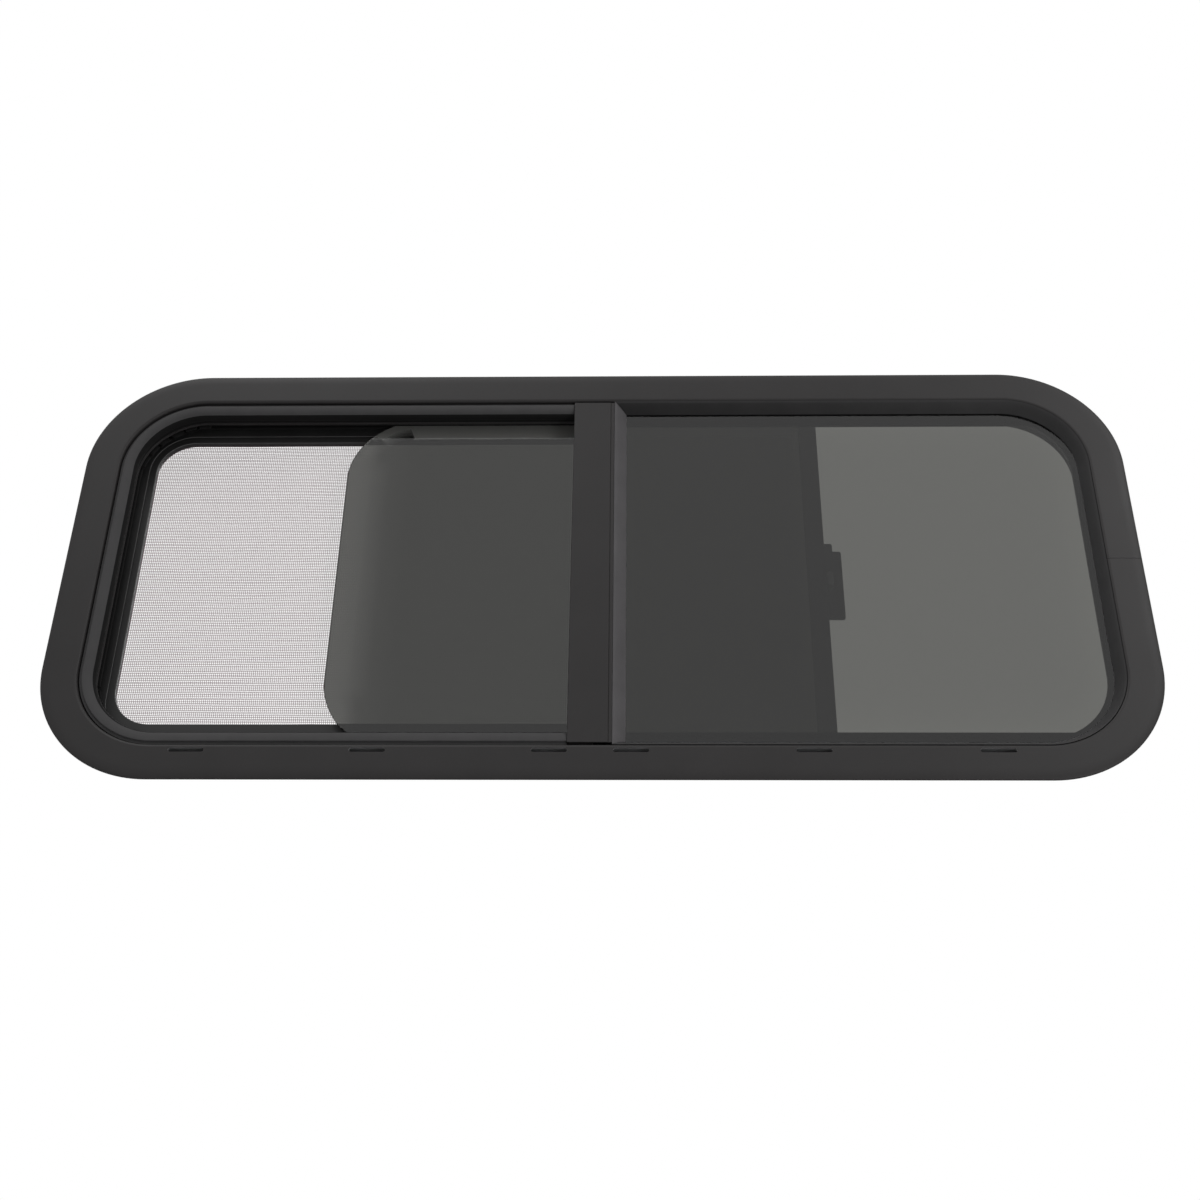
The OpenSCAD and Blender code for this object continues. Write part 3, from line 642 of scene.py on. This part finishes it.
mullion = {"faceR": 9.1, "half": 178.5, "plateR": 8.1, "plateHalf": 167.8, "keeper": (0.5, 7.5, -15.5, 2.5)}
faceR, plateR = mullion["faceR"], mullion["plateR"]
mullionCorners = [
    [mullL, -14, 0.2], [mullL, 3, 0.8], [faceR - 0.6, 3, 0.15], [faceR - 0.3, 2.2, 0.1], [faceR, 2.6, 0.12],
    [lipEnd, 2.6, 0.8], [lipEnd, -9, 0.3], [lipEnd - 1.8, -9, 0.3], [lipEnd - 1.8, 1, 0.2], [-4.2, 1, 0.2],
    [-4.2, -14, 0.2]]
section = roundedLoop(mullionCorners, support=0.12)
k0, k1, k2, k3 = mullion["keeper"]
plateLoop = padLoop((mullL + plateR) / 2, 0, plateR - mullL, 2 * mullion["plateHalf"], 0.5)
holeLoop = padLoop((k0 + k1) / 2, (k2 + k3) / 2, k1 - k0, k3 - k2, 0.5)
rows = [np.column_stack([loop, np.full(24, z)]) for loop, z in
        ((plateLoop, -14), (plateLoop, -16), (holeLoop, -16), (holeLoop, -14), (plateLoop, -14))]
plate = loft(rows, capped=False)
makePiece("mullionBar", [sweep(section, uprightRun(-mullion["half"], mullion["half"])), plate],
          [finish["frameCoat"]], "root", ["mullion"])


# A pane of outline loop: its edge has a small arris on both faces, and rings run inwards to carry the tint
def paneRows(loopAt, h0, h1, arris, rings):
    edge = [(arris, h1), (0, h1 - arris), (0, h0 + arris), (arris, h0)]
    inner = [(r, h0) for r in rings]
    outer = [(r, h1) for r in rings[::-1]]
    rows = [np.column_stack([loopAt(k), np.full(len(loopAt(k)), z)]) for k, z in outer + edge + inner]
    depth = np.array([k for k, _ in outer + edge + inner])
    return rows, depth


fixedEdge = 32.7


# Outline of the fixed pane inset by k, square on the left
def fixedOutline(k, edge=fixedEdge, left=-3.0):
    r = bend(1, -1, 270, 360)
    t = bend(1, 1, 0, 90)
    around = np.vstack([r, t])
    loop = around[:, :2] + around[:, 2:] * (edge + k)
    top = halfH - edge - k
    return np.vstack([[left + k, -top], loop, [left + k, top]])


sash = {"left": -238.0, "right": 200.0, "half": 174.8, "corner": 67.8, "front": -19.0, "back": -23.0,
        "paintedReflectionDepth": 21.8}


# Outline of the sliding pane inset by k, round on the left
def sashOutline(k):
    r = sash["corner"]
    angle = np.radians(np.linspace(90, 270, 2 * window["cornerSteps"] + 1))
    side = np.where(np.sin(angle) >= 0, 1, -1)
    x = sash["left"] + r + (r - k) * np.cos(angle)
    y = side * (sash["half"] - r) + (r - k) * np.sin(angle)
    half = len(angle) // 2
    curve = np.column_stack([x, y])
    curve = np.vstack([curve[:half + 1], [sash["left"] + k, r - sash["half"]], curve[half + 1:]])
    right = sash["right"] - k
    return np.vstack([[right, sash["half"] - k], curve, [right, k - sash["half"]]])


glass = {
    "fixed": {"inside": (0.100, 0.101, 0.094), "rim": (0.108, 0.109, 0.101), "clear": 1.0},
    # the sash's rim colour is painted light and its inside colour painted shade
    "sash": {"inside": (0.040, 0.041, 0.037), "rim": (0.115, 0.116, 0.108), "clear": 0.5},
    # the colour of the film on the sash's top strip: a painted reflection
    "paintedReflectionColour": (0.22, 0.22, 0.21),
    "rough": (0.0, 0.01),
    "ior": 1.52,
}
rows, depth = paneRows(fixedOutline, glassFront - 4, glassFront, 0.4, (1.2, 8, 18, 24, 34, 50, 63))
fixedPart = loft(rows, worn=np.interp(depth, [0, 18, 34, 63], [1, 1, 0.3, 0]))
makePiece("fixedPane", [fixedPart], [makeGlass("fixedGlass", glass["fixed"])], "root",
          ["fixed_pane"], angle=30)
rows, depth = paneRows(sashOutline, sash["back"], sash["front"], 0.5, (1.2, 8, 21.1, 23.1, 40, 60))
sashPart = loft(rows)
fromLeft = sashPart["points"][:, 0] - sash["left"]
# painted light and shade: the sash's tint is light near its left edge and dark further in
sashPart["worn"] = np.interp(fromLeft, [0, 18, 30, 60], [1, 1, 0.2, 0])
# painted reflection: a lighter, less clear film along the upper edge of the outer face, where the bead
# hangs over it and shades the glass
high = sashPart["points"][:, 1] > sash["half"] - sash["paintedReflectionDepth"]
outerFace = sashPart["points"][:, 2] > sash["front"] - 0.1
sashPart["along"] = (high & outerFace).astype(float)
makePiece("sashPane", [sashPart], [makeGlass("sashGlass", glass["sash"])], "sash",
          ["sash_pane"], angle=30)


screen = {
    "outer": 44.3,  # inset of the frame's outer edge
    "bar": 12.0,
    "tighter": 14.7,  # how much smaller the radius of its corners is than the ring's at the same inset
    "sill": 9.7,  # how much wider its bottom bar is
    "right": -12.5,
    "front": -28.0,
    "back": -34.0,
    "pitch": 1.75,
    "yarn": 0.33,
    "level": -32.8,
    "rimEnd": -27.0,
    "steps": 64,
    "wander": (0.05, 0.28),  # how far the uprights and the cross yarns stray from their lines
}


# Stations of a section round the screen, square at the mullion
def screenRound():
    far, steps = screen["right"] + screen["outer"], screen["steps"]
    return np.vstack([
        [far, halfH, -1, -1], bend(-1, 1, 90, 180, steps), bend(-1, -1, 180, 270, steps),
        [far, -halfH, -1, 1]])


o, b = screen["outer"], screen["outer"] + screen["bar"]
barFront, barBack, grooveFloor = screen["front"], screen["back"], screen["back"] + 3
screenCorners = [
    [o, barFront, 0.6], [b, barFront, 0.6], [b, barBack, 0.4], [b - 1.5, barBack, 0.15],
    [b - 1.5, grooveFloor, 0.1], [b - 4.5, grooveFloor, 0.1], [b - 4.5, barBack, 0.15],
    [o + 0.8, barBack, 0.3], [o + 0.8, -33.2, 0.1], [o, -33.2, 0.3]]
rimCorners = [
    [37.4, barFront, 0.1], [40.8, barFront, 0.15], [40.8, -26.1, 0.3], [50.3, -26.1, 0.5],
    [50.3, -28.3, 0.1], [45.1, -28.3, 0.1], [45.1, -29.2, 0.1], [37.4, -29.2, 0.3]]


# A section swept round the screen's tighter corners, but for its points outside of inset keep. Where wide
# is set, the inner side of the bottom bar moves up by the sill's width.
def screenSweep(corners, stations, closed, support=0.1, keep=0.0, wide=True):
    section = roundedLoop(corners, support=support)
    s = section[:, 0]
    inset = np.where(s[None, :] > keep, tighterInset(s, screen["tighter"], stations), s[None, :])
    part = sweep(section, stations, closed=closed, inset=inset)
    if wide:
        inner = np.tile(s > screen["outer"] + 2, len(stations))
        part["points"][:, 1] += screen["sill"] * inner * np.clip(-part["points"][:, 1] / 60, 0, 1)
    return part


screenBars = [
    screenSweep(screenCorners, screenRound(), True),
    screenSweep(rimCorners, leftRound(screen["rimEnd"], screen["steps"]), False, keep=44.0, wide=False)]
makePiece("screenFrame", screenBars, [finish["screenCoat"]], "root", ["screen_frame"])

spline = {"inner": b - 1.6, "outer": b - 4.4, "front": -31.2, "back": -33.8}
splineCorners = [
    [spline["outer"], spline["front"], 0.3], [spline["inner"], spline["front"], 0.3],
    [spline["inner"], spline["back"], 1.0], [spline["outer"], spline["back"], 1.0]]
makePiece("screenSpline", [screenSweep(splineCorners, screenRound(), True, support=0.05)],
          [finish["splineVinyl"]], "root", ["screen_spline"], angle=60)


# Yarns as square tubes: yarn i lies at its own place across, and strays by two slow waves
# sin(l / 31 + place / 47) + 0.6 sin(l / 13 - place / 19) along its length l, and by chance
def yarns(place, low, high, level, alongX, wander, steps=20, seed=3):
    random = np.random.default_rng(seed)
    t = np.linspace(0, 1, steps + 1)[None, :]
    count = len(place)
    reach = low[:, None] + (high - low)[:, None] * t
    slow = np.sin(reach / 31 + place[:, None] / 47) + 0.6 * np.sin(reach / 13 - place[:, None] / 19)
    own = random.normal(0, 0.25, (count, 1)) + random.normal(0, 0.12, (count, steps + 1))
    across = place[:, None] + wander * (slow * 0.6 + own)
    side = screen["yarn"] / 2
    shiftA = np.array([-side, side, side, -side])
    shiftH = np.array([-side, -side, side, side])
    a = across[:, :, None] + shiftA
    r = np.broadcast_to(reach[:, :, None], a.shape)
    h = np.broadcast_to(level + shiftH, a.shape)
    points = np.stack([r, a, h] if alongX else [a, r, h], axis=-1)
    quads, caps = gridFaces(steps + 1, 4)
    caps = np.array(caps)
    offset = (np.arange(count) * (steps + 1) * 4)[:, None, None]
    return {"points": points.reshape(-1, 3), "quads": (quads[None] + offset).reshape(-1, 4),
            "caps": list((caps[None] + offset).reshape(-1, 4)), "worn": np.zeros(points.size // 3),
            "along": np.broadcast_to(reach[:, :, None], a.shape).ravel(), "finish": 0}


# Half height of the screen's outline, inset by s, at plan x; and its left end at plan y
def screenHalf(x, s):
    t = screen["tighter"]
    r = cornerR - s - t
    over = np.clip((-centreX - t - x) / r, 0, 1)
    return centreY + t + r * np.sqrt(1 - over ** 2)


def screenLeft(y, s):
    t = screen["tighter"]
    r = cornerR - s - t
    over = np.clip((np.abs(y) - centreY - t) / r, 0, 1)
    return -centreX - t - r * np.sqrt(1 - over ** 2)


tuck = 0.6  # how far the mesh goes under the bars
edge = b - tuck
left, right = -halfW + edge, screen["right"] - screen["bar"] + tuck
xs = np.arange(left + screen["pitch"] / 2, right, screen["pitch"])
tall = screenHalf(xs, edge)
ys = np.arange(-halfH + edge + screen["sill"] + screen["pitch"] / 2, halfH - edge, screen["pitch"])
leftEnds = screenLeft(np.where(ys < 0, ys - screen["sill"], ys), edge)
upright = yarns(xs, screen["sill"] - tall, tall, screen["level"] + screen["yarn"] / 2, False,
                screen["wander"][0], seed=3)
flatYarn = yarns(ys, leftEnds, np.full(len(ys), right), screen["level"] - screen["yarn"] / 2, True,
                 screen["wander"][1], seed=4)
mesh = makePiece("screenWeave", [upright, flatYarn], [finish["screenYarn"]], "root",
                 ["screen_mesh"])


stile = {"right": 201.5, "width": 16.5, "front": -16.8, "back": -26.0, "half": 165.5}
sr, sw = stile["right"], stile["width"]
u = np.radians(np.linspace(180, 360, 9))
grip = np.column_stack([sr - sw + 2.6 + 2.1 * np.cos(u), stile["back"] + 0.5 + 2.1 * np.sin(u), 0 * u])
stileCorners = [
    [sr - sw, stile["front"], 0.8], [sr, stile["front"], 0.8], [sr, stile["back"], 0.5],
    *grip[::-1].tolist(), [sr - sw, stile["back"] + 0.4, 0.1]]
stilePart = sweep(roundedLoop(stileCorners, support=0.15), uprightRun(-stile["half"], stile["half"]))
makePiece("sashStile", [stilePart], [finish["frameCoat"]], "sash", ["sash_stile"], angle=40)


# Outline of a cross of arm half width w and reach r, as a radius round the screw
def crossRadius(angle, r, w):
    one = np.minimum(r, w / np.maximum(np.abs(np.sin(angle)), 1e-6))
    two = np.minimum(r, w / np.maximum(np.abs(np.cos(angle)), 1e-6))
    return np.maximum(one, two)


# A pan head that stands on height h0 and points down: a dome r sqrt(1 - v^2) with a cross sunk into it
def panHead(x, y, h0, d=5.0, tall=1.4, steps=24):
    angle = np.linspace(0, 2 * np.pi, steps, endpoint=False)
    v = np.array([0, 0.5, 0.8, 0.95, 1.0])
    radius = [d / 2 * math.sqrt(1 - (0.9 * k) ** 2) for k in v]
    rows = [np.column_stack([x + r * np.cos(angle), y + r * np.sin(angle), np.full(steps, h0 - tall * k)])
            for r, k in zip(radius, v)]
    for reach, sink in ((d * 0.3, 0.0), (d * 0.28, 0.5), (d * 0.12, 0.8)):
        r = crossRadius(angle, reach, d * 0.075)
        rows.append(np.column_stack([x + r * np.cos(angle), y + r * np.sin(angle),
                                     np.full(steps, h0 - tall * (1 - sink))]))
    return loft(rows, worn=[0, 0, 0.5, 1, 1, 0.5, 0, 0])


latch = {"base": 3.0, "step": 1.5, "foot": 8.0, "out": 1.8, "down": 1.0, "tabTall": 9.5}
x0, x1, y0, y1, h0, h1 = planBox("latch_body")
midX, midY, w, tall = (x0 + x1) / 2 + latch["out"], (y0 + y1) / 2 - latch["down"], x1 - x0, y1 - y0
shellX, shellW, shellH = midX, w - 2 * latch["step"], tall - latch["foot"]
shellY = midY + latch["foot"] / 2
body = [
    softPad(midX, midY, w, tall, 2.0, h1 - latch["base"], h1, 0.5, 0.3),
    softPad(shellX, shellY, shellW, shellH, 3.0, h0, h1 - latch["base"] + 0.2, 1.2, 0.0)]
makePiece("latchHousing", body, [finish["latchPlastic"]], "sash", ["latch_body"])
x0, x1, y0, y1, t0, t1 = planBox("latch_tab")
midX, midY = (x0 + x1) / 2, y0 - latch["down"] + latch["tabTall"] / 2
ribs = [softPad(midX, midY + 1.8 * k, 5.0, 0.9, 0.4, t0, t0 + 1.2, 0.35, 0.0) for k in (-1, 0, 1)]
thumb = softPad(midX, midY, x1 - x0, latch["tabTall"], 2.3, t0 + 0.5, t1, 0.7, 0.4)
makePiece("latchThumbTab", [thumb, *ribs], [finish["latchPlastic"]], "sash", ["latch_tab"])
x0, x1, y0, y1, t0, t1 = planBox("latch_bolt")
makePiece("latchBolt", [softPad((x0 + x1) / 2, (y0 + y1) / 2, x1 - x0, y1 - y0, 1.5, t0, t1, 0.0, 0.6)],
          [finish["screwZinc"]], "sash", ["latch_bolt"])
x0, x1, y0, y1, t0, t1 = planBox("latch_screws")
heads = [panHead((x0 + x1) / 2 + latch["out"], y - latch["down"], t1) for y in (y0 + 2.5, y1 - 2.5)]
makePiece("latchScrews", heads, [finish["screwZinc"]], "sash", ["latch_screws"])


# The two or four boxes of a node that lie at the corners of its whole box, w by h each
def cornerPads(node, w, h, ways):
    x0, x1, y0, y1, h0, h1 = planBox(node)
    middle = ((x0 + x1) / 2, (y0 + y1) / 2)
    reach = ((x1 - x0 - w) / 2, (y1 - y0 - h) / 2)
    return [(middle[0] + a * reach[0], middle[1] + b * reach[1], h0, h1) for a, b in ways]


along = ((-1, -1), (1, -1))
upDown = ((0, -1), (0, 1))
allFour = ((-1, -1), (-1, 1), (1, -1), (1, 1))
glide = {"long": 30.0, "tall": 2.6, "round": 1.2}
glides = [softPad(x, y, glide["long"], glide["tall"], glide["round"], h0, h1, 0.5, 0.5)
          for x, y, h0, h1 in cornerPads("sash_glides", glide["long"], glide["tall"], along)]
makePiece("sashGlides", glides, [finish["glideNylon"]], "sash", ["sash_glides"])
x0, x1, y0, y1, h0, h1 = planBox("stop_bumpers")
bumperTall = 5.6
stops = [softPad(x, y, x1 - x0, bumperTall, 1.2, h0, h1, 0.8, 0.8)
         for x, y, h0, h1 in cornerPads("stop_bumpers", x1 - x0, bumperTall, upDown)]
makePiece("stopBumpers", stops, [finish["beadRubber"]], "root", ["stop_bumpers"])

clip = {"w": 9.0, "tall": 20.0, "thick": 1.5, "boss": 7.0, "seat": -29.3}
clipParts, clipHeads = [], []
for x, y, h0, h1 in cornerPads("screen_clips", clip["w"], clip["tall"], allFour):
    way = np.sign(y)
    pivot = y + way * (clip["tall"] - clip["w"]) / 2
    clipParts.append(softPad(x, y, clip["w"], clip["tall"], 4.4, h0, h0 + clip["thick"], 0.6, 0.3))
    clipParts.append(softPad(x, pivot, clip["boss"], clip["boss"], 3.45, h0 + clip["thick"] - 0.1,
                             clip["seat"], 0.1, 0.2))
    clipHeads.append(panHead(x, pivot, h0))
makePiece("screenClips", clipParts, [finish["latchPlastic"]], "root", ["screen_clips"])
makePiece("clipScrews", clipHeads, [finish["screwZinc"]], "root", ["clip_screws"])

x0, x1, y0, y1, h0, h1 = planBox("screen_tab")
pull = [(padLoop((x0 + x1) / 2, (y0 + y1) / 2, x1 - x0 - k, y1 - y0 - k, 3), z) for k, z in
        ((0, h1), (0, h0 + 0.4), (0.25, h0 + 0.1), (0.8, h0))]
slotLoop = [(padLoop((x0 + x1) / 2, y1 - 4, x1 - x0 - 10 + k, 3 + k, 1.4 + k / 2), z) for k, z in
            ((0.8, h0), (0.25, h0 + 0.1), (0, h0 + 0.4), (0, h1))]
rows = [np.column_stack([loop, np.full(24, z)]) for loop, z in [*pull, *slotLoop, pull[0]]]
makePiece("screenPullTab", [loft(rows, capped=False)], [finish["latchPlastic"]], "root",
          ["screen_tab"])

x0, x1, y0, y1, h0, h1 = planBox("mullion_screws")
heads = []
for x in (x0 + 2.5, x1 - 2.5):
    for way in (-1, 1):
        head = panHead(0, 0, 0)
        a, c, k = head["points"].T
        head["points"] = np.column_stack([x + a, way * (y1 - 1.4 - k), (h0 + h1) / 2 + c])
        heads.append(head)
makePiece("mullionScrews", heads, [finish["screwZinc"]], "root", ["mullion_screws"])

x0, x1, y0, y1, h0, h1 = planBox("mullion_pile")
makePiece("mullionPile", [softPad((x0 + x1) / 2, 0, x1 - x0, y1 - y0, 0.6, h0, h1, 0.5, 0.1)],
          [finish["brushPile"]], "root", ["mullion_pile"])

# The tape behind the fixed pane: its inner outline is that of the web, cut off straight at top and foot
tape = {"inner": 44.0, "left": 10.3, "innerLeft": 21.1, "top": 160.4, "foot": -162.2,
        "front": -13.0, "back": -14.0}
outerLoop = fixedOutline(0.0, left=tape["left"])
step = tape["inner"] - fixedEdge
innerLoop = fixedOutline(step, left=tape["innerLeft"] - step)
innerLoop[:, 1] = np.clip(innerLoop[:, 1], tape["foot"], tape["top"])
around = ((outerLoop, "front"), (outerLoop, "back"), (innerLoop, "back"), (innerLoop, "front"),
          (outerLoop, "front"))
rows = [np.column_stack([loop, np.full(len(loop), tape[level])]) for loop, level in around]
makePiece("borderTape", [loft(rows, capped=False)], [finish["channelLiner"]], "root",
          ["fixed_gasket"])

kept = {"seam_splice": "bareMetal", "setting_blocks": "beadRubber"}
for node, name in kept.items():
    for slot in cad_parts[node].material_slots:
        slot.material = finish[name]
print("small pieces are in place")
